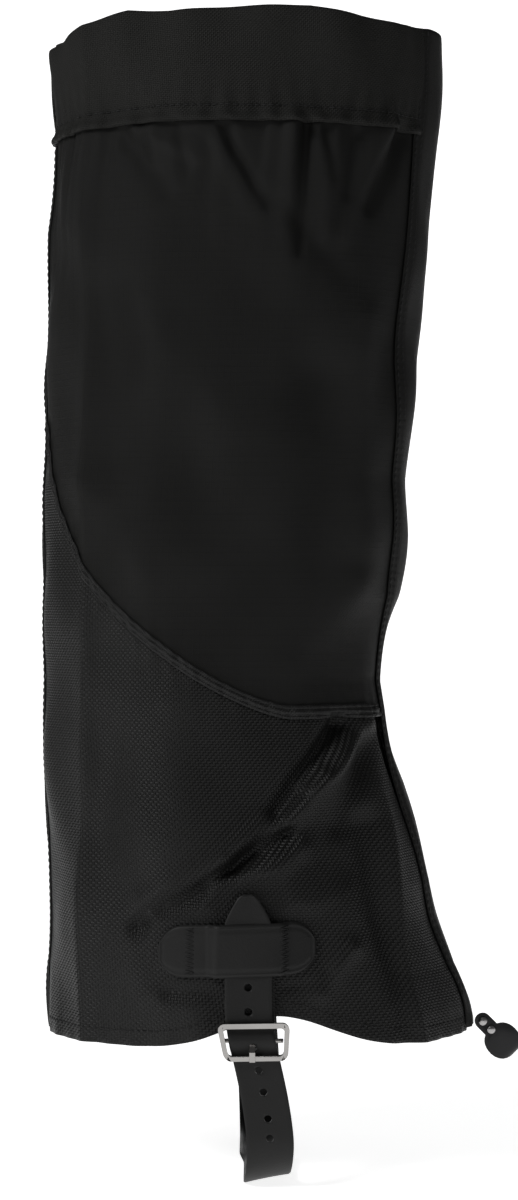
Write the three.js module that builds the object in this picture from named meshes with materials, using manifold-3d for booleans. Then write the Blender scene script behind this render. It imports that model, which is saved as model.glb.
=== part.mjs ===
// A knee-high gaiter for the right leg, standing as if it were worn.
// Millimetres. +X is the front (toe side), -Y the outer side of the leg and +Z up the leg.
// The origin is the centre of the boot opening, at the height of the hem.
import * as THREE from "three";
import { mergeVertices } from "three/addons/utils/BufferGeometryUtils.js";
import Module from "manifold-3d";

const wasm = await Module();
wasm.setup();

// The leg form: the outer face of the cloth, as ovals at six heights.
const bodyHeight = 425;
const ankleHeight = 151;
const topFront = 83;
const topBack = -82;
const topDepth = 108;
const ankleFront = 57;
const ankleDepth = 94;
const hemFront = 97;
const hemBack = -84;
const hemDepth = 116;
const legForm = [
  { height: 0, back: hemBack, front: hemFront, depth: hemDepth },
  { height: 55, back: -84, front: 79.5, depth: 108 },
  { height: ankleHeight, back: -87, front: ankleFront, depth: ankleDepth },
  { height: 227, back: -87, front: 67, depth: 102 },
  { height: 338, back: -84, front: 76.5, depth: 108 },
  { height: bodyHeight, back: topBack, front: topFront, depth: topDepth },
];

// Cloth layers.
const cloth = 1;
const tapeCloth = 0.8;
const layerGap = 0.6;
const flapGap = 0.85;
const seamGap = 0.5;
const columnAngle = 9;
const rowHeight = 20;

// Heights and edges of the panels.
const cuffHeight = 46;
const seamLow = 138;
const seamRise = 114;
const hemLow = 2;
const hemArch = 14;
const archPlace = 14;
const archWidth = 30;
const backEdge = 179.5;
const frontSeamTop = -25;
const frontSeamLow = -9;
const frontSeamTurn = 150;
const innerFrontEdge = 30;
const seamTapeWidth = 6;
const backTapeAngle = 4;
const hemFacingHeight = 15;
const elasticMargin = 6;

// The front closure: how far each layer reaches past the front seam, and its angle on the inner side.
const flapPast = 3;
const flapTo = 42;
const flapLow = 14;
const loopShort = 1;
const loopTo = 36;
const underlapShort = 2;
const underlapTo = 38;
const hookShort = 3;
const hookTo = 27;
const closureMargin = 12;
const bindingAngle = 3;

// The instep strap and its keeper.
const strapWidth = 19;
const strapThickness = 1.5;
const strapPlace = 1;
const strapDrop = 52;
const strapCorner = 20;
const tailTop = 65;
const tailTaper = 12;
const tailTipShare = 0.35;
const holeDiameter = 4;
const holePitch = 9.5;
const firstHole = 28;
const holeCount = 7;
const keeperHeight = 21;
const keeperLength = 64;
const keeperPlace = -3.4;
const keeperMiddle = 42.5;
const keeperThickness = 1.5;
const keeperEase = 2.5;
const keeperSlope = 3;
const bartackWidth = 2.4;
const bartackInset = 13;
const anchorTop = 51;

// The buckle.
const frameWidth = 30;
const frameHeight = 16;
const frameThickness = 2.6;
const frameMiddle = 6.5;
const topBar = 4.5;
const bottomBar = 3;
const sideBar = 3.4;
const barRadius = 0.9;
const pinGap = 0.3;
const prongWidth = 2.4;
const prongThickness = 1.2;
const frameGap = 0.3;

// The lace hook.
const plateThickness = 1.2;
const hookLength = 17;
const shankWidth = 7;
const fanWidth = 15;
const hookBend = 3.4;
const hookTip = 8;
const lipWidth = 9;
const fanBack = 4;
const hookTilt = 45;
const rivetRadius = 1.9;
const rivetPitch = 5;
const tabWidth = 6;
const tabThickness = 1.8;
const tabLength = 8;

const colours = {
  cuff: { color: 0x20201e, roughness: 0.85, metalness: 0 },
  ripstop: { color: 0x1f1f1f, roughness: 0.7, metalness: 0 },
  oxford: { color: 0x212122, roughness: 0.8, metalness: 0 },
  tape: { color: 0x1b1b1b, roughness: 0.75, metalness: 0 },
  fastener: { color: 0x161616, roughness: 0.95, metalness: 0 },
  elastic: { color: 0x2a2a2a, roughness: 0.9, metalness: 0 },
  rubber: { color: 0x252525, roughness: 0.5, metalness: 0 },
  gunmetal: { color: 0x8a8886, roughness: 0.3, metalness: 1 },
  enamel: { color: 0x17171a, roughness: 0.35, metalness: 0.4 },
  steel: { color: 0xc4c4c2, roughness: 0.25, metalness: 1 },
};

const gaiter = new THREE.Group();

function addPiece(name, geometry, colour, parent = gaiter) {
  const mesh = new THREE.Mesh(geometry, new THREE.MeshStandardMaterial(colours[colour]));
  mesh.name = name;
  parent.add(mesh);
  return mesh;
}

// The oval of the leg form at one height.
const formCurve = new THREE.CubicInterpolant(
  legForm.map((oval) => oval.height),
  legForm.flatMap((oval) => [oval.back, oval.front, oval.depth / 2]),
  3,
);

function ovalAt(height) {
  const inside = THREE.MathUtils.clamp(height, 0, bodyHeight);
  const [back, front, halfDepth] = formCurve.evaluate(inside);
  return { centre: (back + front) / 2, halfWidth: (front - back) / 2, halfDepth };
}

// A point at an angle round the leg (0 front, -90 outer side), at a height, off the outer face.
function pointAt(angle, height, offset) {
  const oval = ovalAt(height);
  const across = Math.cos(THREE.MathUtils.degToRad(angle));
  const along = Math.sin(THREE.MathUtils.degToRad(angle));
  const outward = new THREE.Vector2(across / oval.halfWidth, along / oval.halfDepth).normalize();
  return new THREE.Vector3(
    oval.centre + oval.halfWidth * across + outward.x * offset,
    oval.halfDepth * along + outward.y * offset,
    height,
  );
}

// The same, at a distance along X on one side of the leg (-1 outer, 1 inner).
function pointBeside(side, x, height, offset) {
  const oval = ovalAt(height);
  const angle = THREE.MathUtils.radToDeg(Math.acos((x - oval.centre) / oval.halfWidth));
  return pointAt(side * angle, height, offset);
}

// Bends a box of the given columns and rows: place turns its 0 to 1 coordinates into a point.
function bentBox(columns, rows, place) {
  const geometry = new THREE.BoxGeometry(1, 1, 1, columns, rows, 1);
  const position = geometry.getAttribute("position");
  for (let i = 0; i < position.count; i++) {
    const corner = place(position.getX(i) + 0.5, position.getY(i) + 0.5, position.getZ(i) + 0.5);
    position.setXYZ(i, corner.x, corner.y, corner.z);
  }
  return geometry;
}

// A layer of cloth round the leg: its ends are angles at a height, its edges heights at an angle.
function layer({ from, to, low, high, inside, thickness = cloth, rows }) {
  const start = asFunction(from);
  const end = asFunction(to);
  const middle = (start(ankleHeight) + end(ankleHeight)) / 2;
  const columns = Math.ceil((end(ankleHeight) - start(ankleHeight)) / columnAngle);
  const rowCount = rows ?? Math.ceil((high(middle) - low(middle)) / rowHeight);
  return bentBox(columns, rowCount, (across, up, out) => {
    const level = THREE.MathUtils.lerp(low(middle), high(middle), up);
    const angle = THREE.MathUtils.lerp(start(level), end(level), across);
    const height = THREE.MathUtils.lerp(low(angle), high(angle), up);
    return pointAt(angle, height, inside + thickness * out);
  });
}

function asFunction(value) {
  return typeof value === "function" ? value : () => value;
}

// The seam that the flap hangs from, which turns to the front towards the ankle.
function frontSeamAt(height) {
  const share = THREE.MathUtils.smoothstep(height, ankleHeight, ankleHeight + frontSeamTurn);
  return THREE.MathUtils.lerp(frontSeamLow, frontSeamTop, share);
}

function beside(degrees) {
  return (height) => frontSeamAt(height) + degrees;
}

function hemAt(angle) {
  const x = pointAt(angle, 0, 0).x;
  return hemLow + hemArch * Math.exp(-(((x - archPlace) / archWidth) ** 2));
}

// The diagonal seam: level at the front, rising gently, then steeply towards the back.
function seamAt(angle) {
  const levelUntil = 0.45;
  const gentlePart = 0.62;
  const steepPart = 0.45;
  const gentlePower = 1.45;
  const steepPower = 10;
  const across = Math.cos(THREE.MathUtils.degToRad(angle));
  const share = Math.max(0, (levelUntil - across) / (levelUntil + 1));
  return seamLow + seamRise * (gentlePart * share ** gentlePower + steepPart * share ** steepPower);
}

const cuffLow = bodyHeight - cuffHeight;
const top = () => bodyHeight;
const panelInside = -cloth;
const liningInside = panelInside - layerGap - cloth;
const deepInside = liningInside - layerGap - cloth;
const outside = layerGap;

// Panels, cuff, facings and tapes, for the outer and the inner half.
const halves = [
  { side: "outer", from: -backEdge, to: frontSeamAt, liningFrom: -backEdge, liningTo: beside(-2) },
  { side: "inner", from: innerFrontEdge, to: backEdge, liningFrom: underlapTo + 2, liningTo: backEdge },
];
for (const half of halves) {
  const span = { from: half.from, to: half.to, inside: panelInside };
  const lining = { from: half.liningFrom, to: half.liningTo };
  addPiece(
    `calf_panel_${half.side}`,
    layer({ ...span, low: (a) => seamAt(a) + seamGap / 2, high: () => cuffLow - seamGap }),
    "ripstop",
  );
  addPiece(
    `ankle_panel_${half.side}`,
    layer({ ...span, low: hemAt, high: (a) => seamAt(a) - seamGap / 2, rows: 9 }),
    "oxford",
  );
  addPiece(`cuff_band_${half.side}`, layer({ ...span, low: () => cuffLow, high: top }), "cuff");
  addPiece(
    `cuff_lining_${half.side}`,
    layer({ ...lining, low: () => cuffLow, high: top, inside: deepInside }),
    "cuff",
  );
  addPiece(
    `hem_facing_${half.side}`,
    layer({
      ...lining,
      low: (a) => hemAt(a) + seamGap,
      high: (a) => hemAt(a) + seamGap + hemFacingHeight,
      inside: liningInside,
    }),
    "oxford",
  );
}

const tapeFar = backEdge - backTapeAngle - 2;
const tapeSpans = { outer: [-tapeFar, beside(-flapPast - 1)], inner: [flapTo + 1, tapeFar] };
for (const [side, [from, to]] of Object.entries(tapeSpans)) {
  addPiece(
    `seam_tape_${side}`,
    layer({
      from,
      to,
      low: (a) => seamAt(a) - seamTapeWidth / 2,
      high: (a) => seamAt(a) + seamTapeWidth / 2,
      inside: outside,
      thickness: tapeCloth,
      rows: 1,
    }),
    "tape",
  );
}
addPiece(
  "back_seam_tape",
  layer({
    from: 180 - backTapeAngle,
    to: 180 + backTapeAngle,
    low: hemAt,
    high: () => cuffLow - seamGap,
    inside: outside,
    thickness: tapeCloth,
  }),
  "tape",
);
addPiece(
  "cuff_elastic",
  layer({
    from: underlapTo + 2,
    to: beside(360 - 2),
    low: () => cuffLow + elasticMargin,
    high: () => bodyHeight - elasticMargin,
    inside: liningInside,
  }),
  "elastic",
);

// The front closure: an underlap with hook tape, and over it a flap lined with loop tape.
const flapGroup = new THREE.Group();
gaiter.add(flapGroup);
const flapInside = outside + tapeCloth + flapGap;
addPiece(
  "front_underlap",
  layer({ from: beside(underlapShort), to: underlapTo, low: hemAt, high: top, inside: liningInside }),
  "ripstop",
);
addPiece(
  "hook_tape",
  layer({
    from: beside(hookShort),
    to: hookTo,
    low: () => flapLow + closureMargin,
    high: () => bodyHeight - closureMargin,
    inside: liningInside + cloth + layerGap,
    thickness: tapeCloth,
  }),
  "fastener",
);
addPiece(
  "loop_tape",
  layer({
    from: beside(loopShort),
    to: loopTo,
    low: () => flapLow + closureMargin,
    high: () => bodyHeight - closureMargin,
    inside: outside,
    thickness: tapeCloth,
  }),
  "fastener",
  flapGroup,
);
const flapSpan = { low: () => flapLow, high: top };
addPiece(
  "storm_flap",
  layer({ ...flapSpan, from: beside(-flapPast), to: flapTo, inside: flapInside }),
  "ripstop",
  flapGroup,
);
addPiece(
  "flap_binding",
  layer({
    ...flapSpan,
    from: flapTo - bindingAngle,
    to: flapTo,
    inside: flapInside + cloth + layerGap,
    thickness: tapeCloth,
  }),
  "tape",
  flapGroup,
);

// Booleans on closed meshes.
function solid(geometry) {
  const bare = geometry.clone().deleteAttribute("normal").deleteAttribute("uv");
  const merged = mergeVertices(bare.index ? bare.toNonIndexed() : bare, 1e-4);
  return new wasm.Manifold(
    new wasm.Mesh({
      numProp: 3,
      vertProperties: merged.attributes.position.array,
      triVerts: new Uint32Array(merged.index.array),
    }),
  );
}

function geometryOf(made) {
  const mesh = made.getMesh();
  return new THREE.BufferGeometry()
    .setAttribute("position", new THREE.BufferAttribute(mesh.vertProperties, 3))
    .setIndex(new THREE.BufferAttribute(mesh.triVerts, 1));
}

// An outline in Y and Z, extruded along X about the middle x.
function acrossX(shape, width, middle) {
  const geometry = new THREE.ExtrudeGeometry(shape, { depth: width, bevelEnabled: false, curveSegments: 6 });
  geometry.translate(0, 0, -width / 2);
  geometry.applyMatrix4(
    new THREE.Matrix4().makeBasis(
      new THREE.Vector3(0, 1, 0),
      new THREE.Vector3(0, 0, 1),
      new THREE.Vector3(1, 0, 0),
    ),
  );
  return geometry.translate(middle, 0, 0);
}

// An outline in X and Z, extruded along Y from the face nearest the outer side.
function alongY(shape, thickness, outerFace) {
  const settings = { depth: thickness, bevelEnabled: false, curveSegments: 6 };
  const geometry = new THREE.ExtrudeGeometry(shape, settings);
  geometry.rotateX(Math.PI / 2);
  return geometry.translate(0, outerFace + thickness, 0);
}

// The instep strap: tip, down behind the buckle, under the boot and up to its sewn end.
const strapGroup = new THREE.Group();
gaiter.add(strapGroup);
const holderInside = layerGap;
const strapInside = holderInside + tapeCloth + pinGap;
const faceAt = (height) => ovalAt(height).halfDepth;
const frameLow = frameMiddle - frameHeight / 2;
const frameTop = frameMiddle + frameHeight / 2;
const behindFrame = faceAt(hemLow + hemArch / 2) + strapInside;
const frameOuter = -(behindFrame + strapThickness + frameGap + frameThickness);
const loopRadius = barRadius + pinGap + tapeCloth;
const barDepth = -(behindFrame - loopRadius + strapThickness);
const overBar = -barDepth + loopRadius + pinGap;
const anchorEnd = faceAt(hemLow + hemArch / 2) + layerGap;

// Heights between two heights, both included, for a strap that follows the leg form.
function heightsBetween(upper, lower, count = 4) {
  return Array.from({ length: count + 1 }, (_, i) => THREE.MathUtils.lerp(upper, lower, i / count));
}

function followLeg(height) {
  return faceAt(height) + strapInside;
}

const tailHeights = heightsBetween(tailTop - tailTaper, frameTop + strapThickness);
const outerRun = [
  [faceAt(tailTop) + strapInside, tailTop],
  ...tailHeights.map((height) => [followLeg(height), height]),
  [behindFrame, frameTop],
  [behindFrame, frameTop - topBar],
  [overBar, frameMiddle],
  [behindFrame, frameLow + bottomBar],
  [behindFrame, frameLow],
];
const strapShape = new THREE.Shape();
const bottom = -strapDrop;
outerRun.forEach(([face, height], i) => {
  if (i === 0) strapShape.moveTo(-face, height);
  else strapShape.lineTo(-face, height);
});
const outerTurn = strapCorner - behindFrame;
const innerTurn = anchorEnd - strapCorner;
const turnHeight = bottom + strapCorner;
strapShape.absarc(outerTurn, turnHeight, strapCorner, Math.PI, 1.5 * Math.PI, false);
strapShape.absarc(innerTurn, turnHeight, strapCorner, 1.5 * Math.PI, 2 * Math.PI, false);
const innerHeights = heightsBetween(anchorTop, hemLow + hemArch);
const innerRun = innerHeights.map((height) => [faceAt(height) + layerGap, height]);
strapShape.lineTo(anchorEnd, hemLow);
[...innerRun].reverse().forEach(([face, height]) => strapShape.lineTo(face, height));
innerRun.forEach(([face, height]) => strapShape.lineTo(face + strapThickness, height));
strapShape.lineTo(anchorEnd + strapThickness, hemLow);
const outerCorner = strapCorner + strapThickness;
strapShape.absarc(innerTurn, turnHeight, outerCorner, 2 * Math.PI, 1.5 * Math.PI, true);
strapShape.absarc(outerTurn, turnHeight, outerCorner, 1.5 * Math.PI, Math.PI, true);
[...outerRun].reverse().forEach(([face, height]) => strapShape.lineTo(-face - strapThickness, height));

const strapGeometry = acrossX(strapShape, strapWidth, strapPlace);
const strapCorners = strapGeometry.getAttribute("position");
for (let i = 0; i < strapCorners.count; i++) {
  const above = (strapCorners.getZ(i) - (tailTop - tailTaper)) / tailTaper;
  const outerSide = strapCorners.getY(i) < 0;
  const share = outerSide && above > 0 ? THREE.MathUtils.lerp(1, tailTipShare, above) : 1;
  strapCorners.setX(i, strapPlace + (strapCorners.getX(i) - strapPlace) * share);
}
let strap = solid(strapGeometry);
for (let i = 0; i < holeCount; i++) {
  const hole = new THREE.CylinderGeometry(holeDiameter / 2, holeDiameter / 2, hemDepth / 2, 12);
  hole.translate(strapPlace, -behindFrame, firstHole - i * holePitch);
  strap = strap.subtract(solid(hole));
}
// The prong comes up through a slot where the strap passes over the bar.
const prongSlot = new THREE.BoxGeometry(prongWidth + 1.4, hemDepth / 2, frameHeight - topBar - bottomBar);
prongSlot.translate(strapPlace, -behindFrame, frameMiddle + (bottomBar - topBar) / 2);
strap = strap.subtract(solid(prongSlot));
addPiece("instep_strap", geometryOf(strap), "rubber", strapGroup);

// The buckle's frame, bar, the webbing that holds the bar, and the prong.
const frameShape = new THREE.Shape();
const frameRound = 3;
const left = strapPlace - frameWidth / 2;
const right = strapPlace + frameWidth / 2;
frameShape.absarc(right - frameRound, frameLow + frameRound, frameRound, -Math.PI / 2, 0, false);
frameShape.absarc(right - frameRound, frameTop - frameRound, frameRound, 0, Math.PI / 2, false);
frameShape.absarc(left + frameRound, frameTop - frameRound, frameRound, Math.PI / 2, Math.PI, false);
frameShape.absarc(left + frameRound, frameLow + frameRound, frameRound, Math.PI, 1.5 * Math.PI, false);
const frameWindow = new THREE.Path();
frameWindow.moveTo(left + sideBar, frameLow + bottomBar);
frameWindow.lineTo(right - sideBar, frameLow + bottomBar);
frameWindow.lineTo(right - sideBar, frameTop - topBar);
frameWindow.lineTo(left + sideBar, frameTop - topBar);
frameWindow.closePath();
frameShape.holes.push(frameWindow);
addPiece("buckle_frame", alongY(frameShape, frameThickness, frameOuter), "gunmetal", strapGroup);

const barLength = frameWidth - 2 * sideBar + 2 * barRadius;
const bar = new THREE.CylinderGeometry(barRadius, barRadius, barLength, 12);
bar.rotateZ(Math.PI / 2);
bar.translate(strapPlace, barDepth, frameMiddle);
addPiece("buckle_bar", bar, "gunmetal", strapGroup);

const holderShape = new THREE.Shape();
const holderTop = keeperMiddle + keeperHeight / 2 - bartackWidth;
const holderRun = heightsBetween(holderTop, frameTop + strapThickness, 2).map((height) => {
  return [faceAt(height) + holderInside, height];
});
holderRun.push([behindFrame - pinGap - tapeCloth, frameTop]);
const loopOuter = loopRadius;
const loopInner = loopRadius - tapeCloth;
holderRun.forEach(([face, height], i) => {
  if (i === 0) holderShape.moveTo(-face, height);
  else holderShape.lineTo(-face, height);
});
holderShape.lineTo(barDepth + loopOuter, frameMiddle);
holderShape.absarc(barDepth, frameMiddle, loopOuter, 0, -1.1 * Math.PI, true);
holderShape.absarc(barDepth, frameMiddle, loopInner, -1.1 * Math.PI, 0, false);
[...holderRun].reverse().forEach(([face, height]) => holderShape.lineTo(-face - tapeCloth, height));
let holder = solid(acrossX(holderShape, strapWidth - 1, strapPlace));
const prongNotch = new THREE.BoxGeometry(prongWidth + 1, 4 * loopOuter, 4 * loopOuter);
prongNotch.translate(strapPlace, barDepth, frameMiddle);
holder = holder.subtract(solid(prongNotch));
addPiece("buckle_holder", geometryOf(holder), "tape", strapGroup);

const prongGroup = new THREE.Group();
prongGroup.position.set(strapPlace, barDepth, frameMiddle);
strapGroup.add(prongGroup);
const ringRadius = barRadius + pinGap + prongThickness;
const restOnBar = frameOuter - pinGap - barDepth;
const tipDrop = frameLow + bottomBar / 2 - frameMiddle;
const prongShape = new THREE.Shape();
prongShape.absarc(0, 0, ringRadius, Math.PI, -0.62 * Math.PI, true);
const elbow = frameLow + bottomBar - frameMiddle + pinGap;
prongShape.lineTo(restOnBar, elbow);
prongShape.lineTo(restOnBar, tipDrop - prongThickness);
prongShape.lineTo(restOnBar - prongThickness, tipDrop - prongThickness);
prongShape.lineTo(restOnBar - prongThickness, elbow + prongThickness);
prongShape.closePath();
const ringHole = new THREE.CylinderGeometry(barRadius + pinGap, barRadius + pinGap, 2 * prongWidth, 12);
ringHole.rotateZ(Math.PI / 2);
const prong = solid(acrossX(prongShape, prongWidth, 0)).subtract(solid(ringHole));
addPiece("buckle_prong", geometryOf(prong), "gunmetal", prongGroup);

// A patch sewn flat at its ends, raised over the strap in the middle.
function patch(side, middle, length, room) {
  const raised = (x) => {
    const past = Math.abs(x - strapPlace) - strapWidth / 2 - keeperEase;
    return layerGap + room * (1 - THREE.MathUtils.smoothstep(past, 0, keeperSlope));
  };
  const halfHeight = (x) => {
    const past = Math.max(0, Math.abs(x - middle) - (length - keeperHeight) / 2);
    return Math.sqrt(Math.max(1, (keeperHeight / 2) ** 2 - past ** 2));
  };
  const place = (across, up, out) => {
    const x = middle - side * (across - 0.5) * length;
    const height = keeperMiddle + (2 * up - 1) * halfHeight(x);
    return pointBeside(side, x, height, raised(x) + keeperThickness * out);
  };
  const bartacks = [-1, 1].map((end) => {
    const tackMiddle = middle + end * (length / 2 - bartackInset);
    return bentBox(2, 2, (across, up, out) => {
      const x = tackMiddle - side * (across - 0.5) * bartackWidth;
      const height = keeperMiddle + (up - 0.5) * (keeperHeight - 2);
      return pointBeside(side, x, height, raised(x) + keeperThickness + layerGap + tapeCloth * out);
    });
  });
  return { geometry: bentBox(24, 2, place), bartacks };
}
// How far the cloth falls back under the edge of the flat strap.
function strapSag(height) {
  const { centre, halfWidth, halfDepth } = ovalAt(height);
  const reach = (Math.abs(strapPlace - centre) + strapWidth / 2) / halfWidth;
  return halfDepth * (1 - Math.sqrt(1 - reach * reach));
}
const sag = strapSag(keeperMiddle);
const patches = [
  { name: "strap_keeper", side: -1, room: strapInside + strapThickness + sag },
  { name: "strap_anchor", side: 1, room: layerGap + strapThickness + sag },
];
for (const { name, side, room } of patches) {
  const { geometry, bartacks } = patch(side, keeperPlace, keeperLength, room);
  addPiece(name, geometry, "rubber");
  addPiece(`${name}_bartack_rear`, bartacks[0], "tape");
  addPiece(`${name}_bartack_front`, bartacks[1], "tape");
}

// The lace hook on its tab: shank, fan and a tip bent back, held by two rivets.
const tabHeight = (hemLow + flapLow) / 2 - rivetPitch;
const tabStart = hemFront + layerGap + Math.hypot(tabLength, tabWidth) / 2;
let tab = solid(new THREE.BoxGeometry(tabLength, tabThickness, tabWidth));
const hookGroup = new THREE.Group();
hookGroup.position.set(tabStart, 0, tabHeight);
hookGroup.rotation.y = THREE.MathUtils.degToRad(hookTilt);
gaiter.add(hookGroup);
const plateFace = -(tabThickness / 2 + pinGap);
const bendAt = hookLength - hookBend;
const sideShape = new THREE.Shape();
const bendCentre = plateFace - plateThickness + hookBend;
sideShape.moveTo(-rivetPitch / 2 - shankWidth / 2, plateFace - plateThickness);
sideShape.absarc(bendAt, bendCentre, hookBend, -Math.PI / 2, Math.PI / 2, false);
sideShape.lineTo(bendAt - hookTip, bendCentre + hookBend);
sideShape.lineTo(bendAt - hookTip, bendCentre + hookBend - plateThickness);
sideShape.absarc(bendAt, bendCentre, hookBend - plateThickness, Math.PI / 2, -Math.PI / 2, true);
sideShape.lineTo(-rivetPitch / 2 - shankWidth / 2, plateFace);
const sideSettings = { depth: fanWidth, bevelEnabled: false, curveSegments: 6 };
const sideSolid = new THREE.ExtrudeGeometry(sideShape, sideSettings);
sideSolid.translate(0, 0, -fanWidth / 2);
const fanShape = new THREE.Shape();
const shankEnd = rivetPitch / 2 + rivetRadius;
const fanMiddle = bendAt - fanBack;
fanShape.absarc(-rivetPitch / 2, 0, shankWidth / 2, Math.PI / 2, 1.5 * Math.PI, false);
fanShape.lineTo(rivetPitch / 2, -shankWidth / 2);
fanShape.quadraticCurveTo(shankEnd, -fanWidth / 2, fanMiddle, -fanWidth / 2);
fanShape.absarc(fanMiddle, 0, fanWidth / 2, -Math.PI / 2, Math.PI / 2, false);
fanShape.quadraticCurveTo(shankEnd, fanWidth / 2, rivetPitch / 2, shankWidth / 2);
const fanSettings = { depth: 8 * hookBend, bevelEnabled: false, curveSegments: 6 };
const fanSolid = new THREE.ExtrudeGeometry(fanShape, fanSettings);
fanSolid.rotateX(Math.PI / 2);
fanSolid.translate(0, 4 * hookBend, 0);
let laceHook = solid(sideSolid).intersect(solid(fanSolid));
for (const end of [-1, 1]) {
  const besideLip = new THREE.BoxGeometry(2 * hookTip, 2 * hookBend, fanWidth);
  besideLip.translate(bendAt, bendCentre + hookBend, (end * (lipWidth + fanWidth)) / 2);
  laceHook = laceHook.subtract(solid(besideLip));
}

// A rivet: a domed head outside the plate, its shank through plate and tab, and a flat set end.
const headBase = plateFace - plateThickness - pinGap;
const shank = rivetRadius / 2;
const setEnd = tabThickness / 2 + pinGap;
for (const [name, place] of [["upper", -rivetPitch / 2], ["lower", rivetPitch / 2]]) {
  const profile = new THREE.Path();
  profile.moveTo(0, headBase - rivetRadius / 2);
  profile.quadraticCurveTo(rivetRadius, headBase - rivetRadius / 2, rivetRadius, headBase);
  profile.lineTo(shank, headBase);
  profile.lineTo(shank, setEnd);
  profile.lineTo(rivetRadius, setEnd);
  profile.lineTo(rivetRadius, setEnd + tapeCloth / 2);
  profile.lineTo(0, setEnd + tapeCloth / 2);
  const rivet = new THREE.LatheGeometry(profile.getPoints(4), 12);
  rivet.translate(place, 0, 0);
  addPiece(`hook_rivet_${name}`, rivet, "steel", hookGroup);
  const drill = new THREE.CylinderGeometry(shank + pinGap, shank + pinGap, 8 * hookBend, 12);
  drill.translate(place, 0, 0);
  const drilled = solid(drill);
  const shankSide = new THREE.BoxGeometry(2 * shankEnd + 2, 2 * (hookBend - plateThickness), fanWidth);
  shankSide.translate(0, plateFace, 0);
  laceHook = laceHook.subtract(drilled.intersect(solid(shankSide)));
  tab = tab.subtract(drilled);
}
addPiece("hook_tab", geometryOf(tab), "tape", hookGroup);
addPiece("lace_hook", geometryOf(laceHook), "enamel", hookGroup);

export default gaiter;
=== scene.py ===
import math
import bpy
import numpy as np
from mathutils import Matrix, Vector


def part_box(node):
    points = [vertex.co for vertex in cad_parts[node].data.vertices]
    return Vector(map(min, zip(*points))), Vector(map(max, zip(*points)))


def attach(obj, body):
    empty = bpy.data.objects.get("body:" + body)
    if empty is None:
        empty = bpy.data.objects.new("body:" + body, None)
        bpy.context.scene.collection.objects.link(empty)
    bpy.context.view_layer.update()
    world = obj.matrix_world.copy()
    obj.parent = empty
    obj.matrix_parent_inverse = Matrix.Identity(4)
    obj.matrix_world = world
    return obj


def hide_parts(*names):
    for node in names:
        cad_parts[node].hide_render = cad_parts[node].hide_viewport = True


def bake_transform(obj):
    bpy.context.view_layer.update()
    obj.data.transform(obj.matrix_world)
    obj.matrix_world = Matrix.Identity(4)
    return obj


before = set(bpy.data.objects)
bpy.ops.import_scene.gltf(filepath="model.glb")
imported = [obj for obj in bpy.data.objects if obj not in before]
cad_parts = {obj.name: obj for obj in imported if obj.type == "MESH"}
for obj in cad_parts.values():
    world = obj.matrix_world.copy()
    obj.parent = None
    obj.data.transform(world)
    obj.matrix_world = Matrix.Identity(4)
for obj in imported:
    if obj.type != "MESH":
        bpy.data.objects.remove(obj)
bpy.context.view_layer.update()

mm = 0.001
print("frame loaded")

# lengths below are in millimetres and are turned into metres where a mesh is made


def clearSelection():
    for obj in bpy.context.selected_objects:
        obj.select_set(False)


def selectOnly(obj):
    clearSelection()
    bpy.context.view_layer.objects.active = obj
    obj.select_set(True)


def addObject(name, data):
    obj = bpy.data.objects.new(name, data)
    bpy.context.scene.collection.objects.link(obj)
    return obj


def addMesh(name, points, faces):
    # a smooth mesh from points in metres
    mesh = bpy.data.meshes.new(name)
    mesh.from_pydata(points, [], faces)
    mesh.polygons.foreach_set("use_smooth", [True] * len(mesh.polygons))
    mesh.update()
    return addObject(name, mesh)


def boxMm(node):
    low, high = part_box(node)
    return Vector(low) / mm, Vector(high) / mm


# camera, first of all
cameraSetup = {"distance": 1050, "side": 5.5, "height": 184, "seenHeight": 511.8, "sensor": 24}


def placeCamera():
    data = bpy.data.cameras.new("camera")
    data.sensor_fit = "VERTICAL"
    data.sensor_height = cameraSetup["sensor"]
    data.lens = cameraSetup["sensor"] * cameraSetup["distance"] / cameraSetup["seenHeight"]
    data.clip_end = 20
    obj = addObject("camera", data)
    obj.location = (cameraSetup["side"] * mm, -cameraSetup["distance"] * mm, cameraSetup["height"] * mm)
    obj.rotation_euler = (math.radians(90), 0, 0)
    bpy.context.scene.camera = obj


placeCamera()

# the leg form that every layer of cloth lies on: height, back, front, half depth
legForm = [
    (0, -84, 97, 58), (55, -84, 79.5, 54), (151, -87, 57, 47),
    (227, -87, 67, 51), (338, -84, 76.5, 54), (425, -82, 83, 54),
]
bodyTop = boxMm("cuff_band_outer")[1].z
cuffLow = boxMm("cuff_band_outer")[0].z
backEdge = 179.9
innerFront = 30
# turns an angle round the leg into a length along the cloth, for waves and stitch ripples
legRadius = 70


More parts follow.
